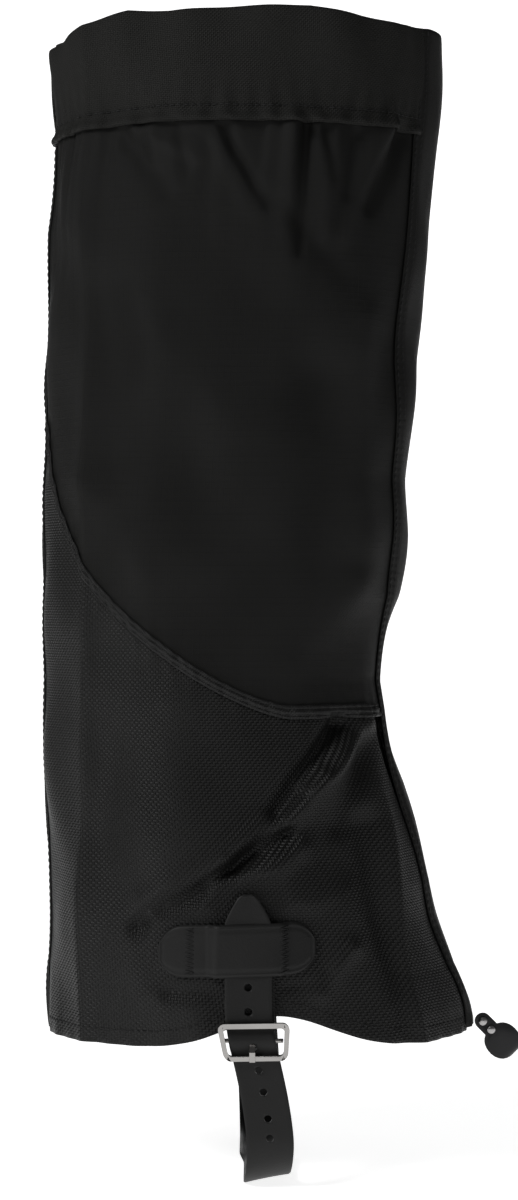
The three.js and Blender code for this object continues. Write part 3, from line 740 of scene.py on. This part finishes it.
def panels(side):
    span = half[side]
    whole = {"from": span["from"], "to": span["to"], "thick": clothThick, "inside": -clothThick}
    lining = {"from": span["lineFrom"], "to": span["lineTo"], "thick": clothThick}
    edge = level(cuffLow)
    layers = {
        "calfPanel": ("calf_panel", ripstop, "ripstop", "gathered", f"cuffBand_{side}", {
            **whole, "low": lambda a: seamAt(a) - 2, "high": lambda a: edge(a) + 1}),
        "anklePanel": ("ankle_panel", oxford, "oxford", "hung", f"calfPanel_{side}", {
            **whole, "low": hemAt, "high": lambda a: seamAt(a) - 2.3}),
        "cuffBand": ("cuff_band", cuffCloth, "cuff", "stretched", "cuff_elastic", {
            **whole, "thick": cuffShape["thick"], "inside": 0.15, "low": level(cuffLow - 1),
            "high": topAt, "rows": 44, "stand": cuffStand}),
        "cuffLining": ("cuff_lining", cuffCloth, "cuff", "stretched", "cuff_elastic", {
            **lining, "inside": -4.2, "low": edge, "high": topAt, "rows": 12}),
        "hemFacing": ("hem_facing", oxford, "oxford", "hung", f"anklePanel_{side}", {
            **lining, "inside": -2.2, "low": lambda a: hemAt(a) + 0.2,
            "high": lambda a: hemAt(a) + 15, "rows": 9}),
    }
    for name, (node, material, slot, held, rest, spec) in layers.items():
        obj, flat, area = sheetOf(f"{name}_{side}", spec)
        cover(obj, side, material, f"{node}_{side}")
    stop = -24.5 if side == "outer" else 179
    start = -179 if side == "outer" else 43.5
    angles = np.linspace(start, stop, 260)
    for k, above in enumerate(cuffShape["rows"]):
        row = stitchRound(f"cuffStitch_{side}_{k}", angles, cuffLow + above + 0 * angles, 1.25, None)
        holdStitches(row, side)
    hemRow = np.linspace(start, -11 if side == "outer" else stop, 260)
    row = stitchRound(f"hemStitch_{side}", hemRow, hemAt(hemRow) + 6, 0.05, None)
    holdStitches(row, side)


for side in half:
    panels(side)
elastic, flat, area = sheetOf("cuffElastic", {
    "from": innerFront + 10, "to": lambda h: frontSeamAt(h) + 358, "thick": 1.0, "inside": -2.4, "rows": 20,
    "low": level(cuffLow + 6), "high": level(bodyTop - 6),
})
finish(elastic, "outer_shell", elasticCloth, "elastic", "cuff_elastic")
print("panels made")

# tapes: the diagonal one is ridged along its middle and stitched on both edges
tapeEnds = {"outer": (level(-173.5), besideSeam(-4)), "inner": (43, 173.5)}


def tapeRidge(angles, heights):
    gap = heights - seamAt(angles)
    ridges = 0.7 * np.exp(-((gap / 0.9) ** 2)) + 0.35 * np.exp(-(((np.abs(gap) - 2.0) / 0.5) ** 2))
    return ridges + 0.18 * np.sin(np.radians(angles) * legRadius * 2 * math.pi / 4.5)


for side, (start, stop) in tapeEnds.items():
    width = seamLine["tape"] / 2
    tape, flat, area = sheetOf(f"seamTape_{side}", {
        "from": start, "to": stop, "thick": 0.7, "inside": 0.1, "rows": 15, "columns": 260,
        "low": lambda a: seamAt(a) - width, "high": lambda a: seamAt(a) + width, "stand": tapeRidge,
    })
    cover(tape, side, tapeCloth, f"seam_tape_{side}")
    angles = np.linspace(-173, -14.5, 260) if side == "outer" else np.linspace(43.5, 173, 260)
    for k, gap in enumerate((-1.9, 1.9)):
        holdStitches(stitchRound(f"tapeStitch_{side}_{k}", angles, seamAt(angles) + gap, 0.95, None), side)
backTape, flat, area = sheetOf("backTape", {
    "from": 177, "to": 183, "thick": 0.6, "inside": 0.1, "columns": 12,
    "low": lambda a: hemAt(a) + 0.2, "high": level(cuffLow - 1.5),
})
finish(backTape, "outer_shell", tapeCloth, "webbing", "back_seam_tape")
for k, angle in enumerate((178, 182)):
    heights = np.linspace(8, cuffLow - 3, 260)
    stitchRound(f"backStitch_{k}", angle + 0 * heights, heights, 0.75, "outer_shell")
print("tapes made")

# front closure: underlap and hook tape on the shell, flap with its loop tape and binding
def flapLift(angles, heights):
    # the flap lies down on the panel along the seam that it is sewn by
    return -1.15 * (1 - smooth(angles - frontSeamAt(heights), -2, 3))


closure = {
    "frontUnderlap": {
        "node": "front_underlap", "body": "outer_shell", "material": ripstop, "slot": "ripstop",
        "from": besideSeam(2), "to": 38, "low": hemAt, "high": topAt, "inside": -2.6, "thick": 0.9,
        "rests": "calfPanel_inner",
    },
    "hookTape": {
        "node": "hook_tape", "body": "outer_shell", "material": pileCloth, "slot": "fastener",
        "from": besideSeam(3), "to": 27, "low": level(26), "high": level(bodyTop - 12), "inside": -1.3,
        "thick": 0.9, "rests": "frontUnderlap",
    },
    "loopTape": {
        "node": "loop_tape", "body": "storm_flap", "material": pileCloth, "slot": "fastener",
        "from": besideSeam(1), "to": 36, "low": level(26), "high": level(bodyTop - 12), "inside": 0.4,
        "thick": 0.8, "rests": "stormFlap",
    },
    "stormFlap": {
        "node": "storm_flap", "body": "storm_flap", "material": ripstop, "slot": "ripstop",
        "from": besideSeam(-3), "to": 42, "low": lambda a: hemAt(a) + 1.5, "high": topAt, "inside": 1.3,
        "thick": 0.9, "rests": "calfPanel_outer", "lift": flapLift,
    },
    "flapBinding": {
        "node": "flap_binding", "body": "storm_flap", "material": tapeCloth, "slot": "webbing",
        "from": 39, "to": 42.2, "low": level(14), "high": topAt, "inside": 2.3, "thick": 0.6,
        "rests": None,
    },
}
for name, spec in closure.items():
    obj, flat, area = sheetOf(name, spec)
    finish(obj, spec["body"], spec["material"], spec["slot"], spec["node"])
heights = np.linspace(17, bodyTop - 3, 300)
stitchRound("flapStitch_0", frontSeamAt(heights) - 1.6, heights, 1.2, "storm_flap")
stitchRound("flapStitch_1", frontSeamAt(heights) + 1.2, heights, 1.75, "storm_flap")
stitchRound("bindingStitch", 40.6 + 0 * heights, heights, 3.05, "storm_flap")
print("closure made")

# the pill-shaped patches that hold the strap: raised over it, flat at the ends, sewn by two bartacks
patchShape = {
    "middle": -3.4, "length": 64, "height": 21, "level": 42.5, "thick": 1.5, "ease": 2.5, "slope": 5,
    "tilt": 0.035, "tackInset": 13, "tackWidth": 3.6, "tackPitch": 0.85, "edgeRow": 1.9,
}
strapMiddle, strapHalf = 1.0, 9.5


def patchFace(x, z, side, room, offset):
    past = np.abs(x - strapMiddle) - strapHalf - patchShape["ease"]
    raised = 0.5 + room * (1 - smooth(past, 0, patchShape["slope"]))
    tilted = z + patchShape["tilt"] * (x - patchShape["middle"])
    return clothPoints(angleBeside(x, tilted, side), tilted, raised + offset)


def patchHalfHeight(x, inset=0.0):
    end = patchShape["height"] / 2
    past = np.maximum(0, np.abs(x - patchShape["middle"]) - (patchShape["length"] / 2 - end))
    return np.sqrt(np.maximum(0.04, (end - inset) ** 2 - past ** 2))


def makePatch(name, side, room, node):
    spread = np.linspace(-1, 1, 121)[None, :]
    x = patchShape["middle"] - side * np.sin(spread * math.pi / 2) * patchShape["length"] / 2
    up = np.sin(np.linspace(-1, 1, 25) * math.pi / 2)[:, None]
    x = x + 0 * up
    z = patchShape["level"] + up * patchHalfHeight(x)
    endGap = patchShape["length"] / 2 * (1 - np.abs(np.sin(spread * math.pi / 2)))
    edge = np.minimum(patchHalfHeight(x) * (1 - np.abs(up)), endGap)
    thick = patchShape["thick"] * (0.3 + 0.7 * smooth(edge, -0.2, 1.1))
    sunk = 0.35 * np.exp(-(((edge - patchShape["edgeRow"]) / 0.6) ** 2))
    outer = patchFace(x, z, side, room, thick - sunk)
    inner = patchFace(x, z, side, room, 0)
    obj = meshFromGrids(name, outer, inner, np.stack([x, z], axis=-1) * mm)
    finish(obj, "outer_shell", coated, "coated", node)
    for label, end in (("rear", -1), ("front", 1)):
        middle = patchShape["middle"] + end * (patchShape["length"] / 2 - patchShape["tackInset"])
        count = int((patchShape["height"] - 2.4) / patchShape["tackPitch"])
        rise = (np.arange(count + 1) / count - 0.5) * (patchShape["height"] - 2.4) + patchShape["level"]
        swing = middle + np.where(np.arange(count + 1) % 2, 1, -1) * patchShape["tackWidth"] / 2
        corners = patchFace(swing, rise, side, room, patchShape["thick"] + 0.1) / mm
        lifted = patchFace(swing, rise, side, room, patchShape["thick"] + 1.1) / mm
        up = (lifted - corners)[:-1]
        tack = threadsBetween(f"{name}Tack_{label}", corners[:-1], corners[1:], up, "outer_shell")
        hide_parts(f"{node}_bartack_{label}")


makePatch("keeper", -1, 3.1, "strap_keeper")
makePatch("anchor", 1, 1.9, "strap_anchor")
print("patches made")

# the strap: its centre line as (out from the leg, height), and how far it leans forward at each height
strapShape = {
    "thick": 1.5, "behind": 59.05, "overBar": 60.85, "innerEnd": 57.95, "anchor": 54.9, "corner": 20,
    "bottom": -52, "tip": 65, "taper": 12, "tipShare": 0.33, "roll": 0.2, "columns": 17,
    "holes": [27.6, 18.6, 4.4, -5.2, -14.2, -24.2, -32], "holeWidth": 3.1,
}
nearLean = {
    "heights": [-52, -46, -35, -25, -14, -6, 4.5, 14, 66],
    "lean": [7.6, 8.6, 9.3, 8.2, 6.4, 4.6, 2.2, 0.2, 0],
}
farLean = {"heights": [-52, -30, 0, 16, 52], "lean": [5.6, 4.6, 2.6, 1.4, 0]}


def strapLine():
    # the strap's inner face from tip to sewn end, as y and z, with a corner at each side of the boot
    face = ovalAt(np.array([65.0, 53.0, 28.0]))[2] + 1.7
    behind = -strapShape["behind"]
    rows = [(-face[0], 65), (-face[1], 53), (-face[2], 28), (behind, 15), (behind, 11)]
    rows += [(-strapShape["overBar"], 8), (-strapShape["overBar"], 5.5), (behind, 2), (behind, -4)]
    corner, low = strapShape["corner"], strapShape["bottom"]
    near, far = corner - strapShape["behind"], strapShape["innerEnd"] - corner
    turns = np.radians(range(0, 91, 6))
    rows += [(near - corner * math.cos(t), low + corner - corner * math.sin(t)) for t in turns]
    rows += [(far + corner * math.sin(t), low + corner - corner * math.cos(t)) for t in turns]
    rows += [(strapShape["innerEnd"], 16), (strapShape["anchor"], 51)]
    rows = np.array(rows, dtype=float)
    along = np.concatenate([[0], np.cumsum(np.linalg.norm(np.diff(rows, axis=0), axis=1))])
    keep = np.concatenate([[True], np.diff(along) > 0.01])
    at = np.linspace(0, along[-1], 330)
    line = np.stack([np.interp(at, along[keep], rows[keep, c]) for c in range(2)], axis=-1)
    soft = line.copy()
    for _ in range(4):
        soft[1:-1] = (soft[:-2] + 2 * soft[1:-1] + soft[2:]) / 4
    return at, soft


def makeStrap():
    at, line = strapLine()
    step = np.gradient(line, axis=0)
    step /= np.linalg.norm(step, axis=1, keepdims=True)
    out = np.stack([step[:, 1], -step[:, 0]], axis=-1)
    nearSide = line[:, 0] < 0
    lean = np.where(
        nearSide,
        np.interp(line[:, 1], nearLean["heights"], nearLean["lean"]),
        np.interp(line[:, 1], farLean["heights"], farLean["lean"]),
    )
    for _ in range(30):
        lean[1:-1] = (lean[:-2] + lean[1:-1] * 2 + lean[2:]) / 4
    width = strapHalf * np.ones(len(at))
    past = (line[:, 1] - strapShape["tip"] + strapShape["taper"]) / strapShape["taper"]
    above = np.clip(past, 0, 1) * nearSide
    width *= 1 - (1 - strapShape["tipShare"]) * above ** 1.2
    width[:2] *= [0.62, 0.88]
    spread = np.sin(np.linspace(-1, 1, strapShape["columns"]) * math.pi / 2)[None, :]
    x = strapMiddle + lean[:, None] + spread * width[:, None]
    rollShare = np.exp(-(((line[:, 1] + 50) / 14) ** 2)) * nearSide
    for _ in range(12):
        rollShare[1:-1] = (rollShare[:-2] + rollShare[1:-1] * 2 + rollShare[2:]) / 4
    rolled = strapShape["roll"] * rollShare[:, None] * (x - strapMiddle - lean[:, None] + 4)
    edge = (1 - np.abs(spread)) * width[:, None]
    thick = strapShape["thick"] * (0.45 + 0.55 * smooth(edge, -0.15, 0.7))
    dish = 0.25 * spread ** 2
    faces = []
    for lift in (0.5, -0.5):
        off = strapShape["thick"] / 2 + thick * lift + dish
        faces.append(np.stack([
            x, line[:, :1] - out[:, :1] * -off, line[:, 1:] + out[:, 1:] * off + rolled,
        ], axis=-1) * mm)
    uvs = np.stack([x, at[:, None] + 0 * x], axis=-1) * mm
    obj = meshFromGrids("strap", faces[0], faces[1], uvs)
    clearSelection()
    drills = []
    for height in strapShape["holes"]:
        near = np.where(nearSide & (line[:, 1] < 40), np.abs(line[:, 1] - height), 99)
        k = int(np.argmin(near))
        bpy.ops.mesh.primitive_cylinder_add(
            vertices=24, radius=strapShape["holeWidth"] / 2 * mm, depth=8 * mm,
            location=((strapMiddle + lean[k]) * mm, line[k, 0] * mm, line[k, 1] * mm),
            rotation=(math.pi / 2, 0, 0))
        drills.append(bpy.context.object)
    for drill in drills:
        drill.select_set(True)
    bpy.context.view_layer.objects.active = drills[0]
    bpy.ops.object.join()
    drill = bpy.context.object
    cut = obj.modifiers.new("holes", "BOOLEAN")
    cut.object = drill
    cut.solver = "EXACT"
    selectOnly(obj)
    bpy.ops.object.modifier_apply(modifier=cut.name)
    bpy.data.objects.remove(drill)
    finish(obj, "instep_strap", coated, "coated", "instep_strap")


makeStrap()
print("strap made")


def copyOf(node, name):
    # a merged copy of one of the frame's meshes, at the origin
    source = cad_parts[node]
    obj = source.copy()
    obj.data = source.data.copy()
    obj.name = name
    world = source.matrix_world.copy()
    obj.parent = None
    for key in list(obj.keys()):
        del obj[key]
    bpy.context.scene.collection.objects.link(obj)
    obj.data.transform(world)
    obj.matrix_world.identity()
    selectOnly(obj)
    bpy.ops.object.mode_set(mode="EDIT")
    bpy.ops.mesh.select_all(action="SELECT")
    bpy.ops.mesh.remove_doubles(threshold=0.00002)
    bpy.ops.mesh.normals_make_consistent(inside=False)
    bpy.ops.mesh.dissolve_limited(angle_limit=math.radians(2))
    bpy.ops.object.mode_set(mode="OBJECT")
    return obj


def roundEdges(obj, width, segments, angle):
    modifier = obj.modifiers.new("bevel", "BEVEL")
    modifier.width = width * mm
    modifier.segments = segments
    modifier.limit_method = "ANGLE"
    modifier.angle_limit = angle
    selectOnly(obj)
    bpy.ops.object.modifier_apply(modifier=modifier.name)


def smoothShade(obj):
    selectOnly(obj)
    bpy.ops.object.shade_smooth_by_angle(angle=math.radians(40))


def clothUv(obj):
    # UVs in metres from a box projection
    while obj.data.uv_layers:
        obj.data.uv_layers.remove(obj.data.uv_layers[0])
    obj.data.uv_layers.new(name="cloth")
    selectOnly(obj)
    bpy.ops.object.mode_set(mode="EDIT")
    bpy.ops.mesh.select_all(action="SELECT")
    bpy.ops.uv.cube_project(cube_size=1.0, correct_aspect=False)
    bpy.ops.object.mode_set(mode="OBJECT")


def pick(obj, kind, test):
    # edit mode with only the wanted faces or edges selected
    selectOnly(obj)
    bpy.ops.object.mode_set(mode="EDIT")
    bpy.ops.mesh.select_mode(type=kind)
    bpy.ops.mesh.select_all(action="DESELECT")
    bpy.ops.object.mode_set(mode="OBJECT")
    for item in obj.data.polygons if kind == "FACE" else obj.data.edges:
        item.select = bool(test(item))
    bpy.ops.object.mode_set(mode="EDIT")


def edgeVector(obj, edge):
    a, b = (obj.data.vertices[k].co for k in edge.vertices)
    return b - a


# the buckle's frame: wider at the top, its top bar thick and domed towards the viewer
frameShape = {
    "middle": 3.2, "depth": -62.0, "level": 6.6, "width": 29.6, "height": 15.2, "thick": 2.4, "wall": 2.1,
    "narrow": 0.86, "shift": 1.2, "dome": 0.9, "round": 0.95, "corner": 3.2,
}


def makeFrame():
    clearSelection()
    bpy.ops.mesh.primitive_cube_add(size=1)
    obj = bpy.context.object
    obj.name = "frame"
    obj.scale = (frameShape["width"] * mm, frameShape["thick"] * mm, frameShape["height"] * mm)
    bpy.ops.object.transform_apply(location=False, rotation=False, scale=True)
    pick(obj, "FACE", lambda face: abs(face.normal.y) > 0.9)
    bpy.ops.mesh.inset(thickness=frameShape["wall"] * mm, use_individual=True)
    bpy.ops.mesh.delete(type="FACE")
    bpy.ops.mesh.select_mode(type="EDGE")
    bpy.ops.mesh.select_non_manifold()
    bpy.ops.mesh.bridge_edge_loops()
    bpy.ops.object.mode_set(mode="OBJECT")
    halfWidth = frameShape["width"] * mm / 2
    for inner, radius in ((False, frameShape["corner"]), (True, frameShape["corner"] / 2)):
        pick(obj, "EDGE", lambda edge: abs(edgeVector(obj, edge).y) > 0.002
             and (abs(obj.data.vertices[edge.vertices[0]].co.x) < halfWidth * 0.95) == inner
             and abs(edgeVector(obj, edge).x) < 0.0001)
        bpy.ops.mesh.bevel(offset=radius * mm, segments=5, affect="EDGES")
        bpy.ops.object.mode_set(mode="OBJECT")
    halfHeight = frameShape["height"] * mm / 2
    for vertex in obj.data.vertices:
        low = 0.5 - vertex.co.z / halfHeight / 2
        vertex.co.x *= 1 - (1 - frameShape["narrow"]) * low
        vertex.co.x += frameShape["shift"] * mm * low
        if vertex.co.z > halfHeight * 0.4:
            share = min(1, (vertex.co.z / halfHeight - 0.4) / 0.5)
            vertex.co.y -= frameShape["dome"] * mm * share * (1 - (vertex.co.x / 0.016) ** 2 * 0.6)
        vertex.co.z += 0.015 * vertex.co.x
        vertex.co += Vector((frameShape["middle"], frameShape["depth"], frameShape["level"])) * mm
    roundEdges(obj, frameShape["round"], 4, 0.7)
    smoothShade(obj)
    finish(obj, "instep_strap", gunmetal, "gunmetal", "buckle_frame")


makeFrame()

# the strap has slid a little to the front in the buckle, and the buckle with it
buckleShift = {"instep_strap": 1.8, "buckle_prong": 1.8}

# the small hard pieces are rounded copies of the frame's
hardPieces = {
    "bar": ("buckle_bar", "instep_strap", gunmetal, "gunmetal", 0.15),
    "prong": ("buckle_prong", "buckle_prong", gunmetal, "gunmetal", 0.32),
    "laceHook": ("lace_hook", "lace_hook", enamel, "enamel", 0.3),
    "rivetUpper": ("hook_rivet_upper", "lace_hook", steel, "steel", 0.12),
    "rivetLower": ("hook_rivet_lower", "lace_hook", steel, "steel", 0.12),
}
for name, (node, body, material, slot, bevel) in hardPieces.items():
    piece = copyOf(node, name)
    piece.data.transform(Matrix.Translation((buckleShift.get(body, 0) * mm, 0, 0)))
    roundEdges(piece, bevel, 3, 0.6)
    smoothShade(piece)
    finish(piece, body, material, slot, node)
softRound = 0.28
softPieces = {
    "holder": ("buckle_holder", "instep_strap"),
    "hookTab": ("hook_tab", "lace_hook"),
}
for name, (node, body) in softPieces.items():
    piece = copyOf(node, name)
    piece.data.transform(Matrix.Translation((buckleShift.get(body, 0) * mm, 0, 0)))
    roundEdges(piece, softRound, 3, 0.6)
    clothUv(piece)
    smoothShade(piece)
    finish(piece, body, tapeCloth, "webbing", node)
print("buckle and lace hook made")

for piece in blended:
    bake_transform(piece)


# backdrop and light: a white floor that turns up into a wall, one broad light from the upper left
backdrop = {
    "floor": -0.0545, "front": -2.2, "bend": 1.6, "radius": 0.6, "width": 6.0, "wall": 1.8, "top": 2.0,
}
lightSetup = {
    "key": ((-1.0, -0.8, 1.1), 0.5, 13),
    "fill": ((1.3, -1.1, 0.3), 1.0, 0.4),
    "rim": ((0.2, 1.3, 1.1), 1.0, 1),
}


def stageAndLight():
    turns = np.radians(np.arange(0, 91, 6))
    profile = [(backdrop["front"], backdrop["floor"])]
    for t in turns:
        rise = backdrop["radius"] * (1 - math.cos(t))
        profile.append((backdrop["bend"] + backdrop["radius"] * math.sin(t), backdrop["floor"] + rise))
    profile.append((profile[-1][0], backdrop["top"]))
    floorHalf, wallHalf = backdrop["width"] / 2, backdrop["wall"] / 2
    halves = [wallHalf if z > backdrop["floor"] + 0.05 else floorHalf for y, z in profile]
    verts = [(side * half, y, z) for half, (y, z) in zip(halves, profile) for side in (-1, 1)]
    faces = [(2 * k, 2 * k + 1, 2 * k + 3, 2 * k + 2) for k in range(len(profile) - 1)]
    paper = addMesh("backdrop", verts, faces)
    material, _, shader = newMaterial("paper", (0.8, 0.8, 0.8), 0.9, specular=0.1)
    shader.inputs["Emission Color"].default_value = (1, 1, 1, 1)
    shader.inputs["Emission Strength"].default_value = 0.85
    paper.data.materials.append(material)
    world = bpy.data.worlds.new("studio")
    bpy.context.scene.world = world
    world.use_nodes = True
    world.node_tree.nodes["Background"].inputs[0].default_value = (1, 1, 1, 1)
    world.node_tree.nodes["Background"].inputs[1].default_value = 0.09
    bpy.context.scene.view_settings.view_transform = "Standard"
    for name, (place, size, power) in lightSetup.items():
        data = bpy.data.lights.new(name, "AREA")
        data.size = size
        data.energy = power
        obj = addObject(name, data)
        obj.location = place
        obj.rotation_euler = (Vector((0, 0, 0.2)) - Vector(place)).to_track_quat("-Z", "Y").to_euler()


stageAndLight()
